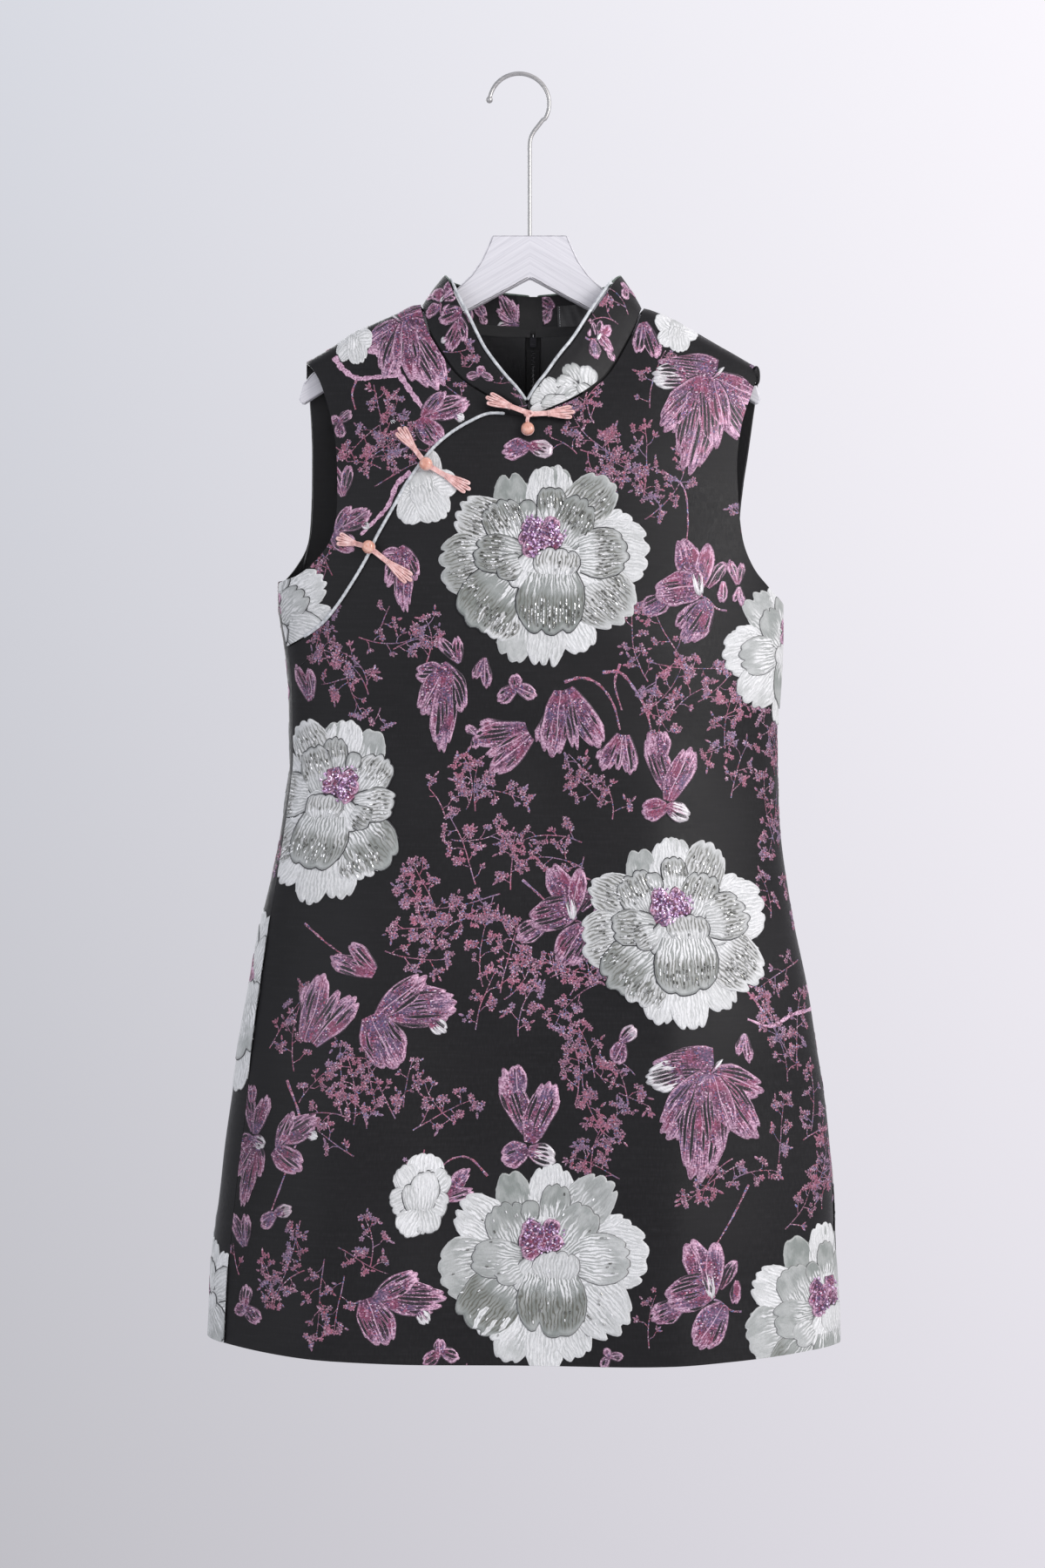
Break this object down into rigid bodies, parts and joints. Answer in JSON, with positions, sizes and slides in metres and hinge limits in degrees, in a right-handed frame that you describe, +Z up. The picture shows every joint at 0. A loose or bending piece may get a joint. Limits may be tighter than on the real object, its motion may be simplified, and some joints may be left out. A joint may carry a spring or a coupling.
{
  "type": "cheongsam dress on a hanger",
  "caption": "Sleeveless A-line cheongsam dress in dark floral brocade with stand collar, slanted placket, knotted-cord frogs and back zip, hung on a flat wooden hanger with a wire hook.",
  "frame": {"origin": "inner apex of the hanger's hook, where it rests on a rail", "axes": "+Z up, -Y the wearer's front, +X towards the wearer's left side"},
  "size_m": [0.5187, 0.148, 1.0556],
  "materials": {
    "brocade": "woven silk brocade",
    "lining": "satin lining",
    "piping": "satin piping",
    "frog_cord": "satin cord",
    "frog_bead": "polished bead",
    "zip_tape": "woven tape with coil",
    "zip_metal": "black nickel",
    "label": "woven label, bare",
    "hanger_wood": "whitewashed satin lacquer",
    "hook_wire": "polished"
  },
  "bodies": {
    "garment": {"front_main": "brocade", "front_shoulder": "brocade", "back_left": "brocade", "back_right": "brocade", "collar_left": "brocade", "collar_right": "brocade", "lining_back_left": "lining", "lining_back_right": "lining", "piping_collar_left": "piping", "piping_collar_right": "piping", "piping_placket": "piping", "frog_1_loop": "frog_cord", "frog_1_knot": "frog_cord", "frog_1_bead": "frog_bead", "frog_2_loop": "frog_cord", "frog_2_knot": "frog_cord", "frog_2_bead": "frog_bead", "frog_3_loop": "frog_cord", "frog_3_knot": "frog_cord", "frog_3_bead": "frog_bead", "zip_chain": "zip_tape", "zip_slider": "zip_metal", "label": "label", "hanger_plate": "hanger_wood", "hook": "hook_wire"},
    "zip_pull": {"zip_pull": "zip_metal"}
  },
  "joints": [
    {"name": "zip_pull_hinge", "type": "hinge", "parent": "garment", "child": "zip_pull", "pos_m": [0.01139, 0.02035, -0.21555], "axis": [1, 0, 0], "range_deg": [0, 140]}
  ]
}
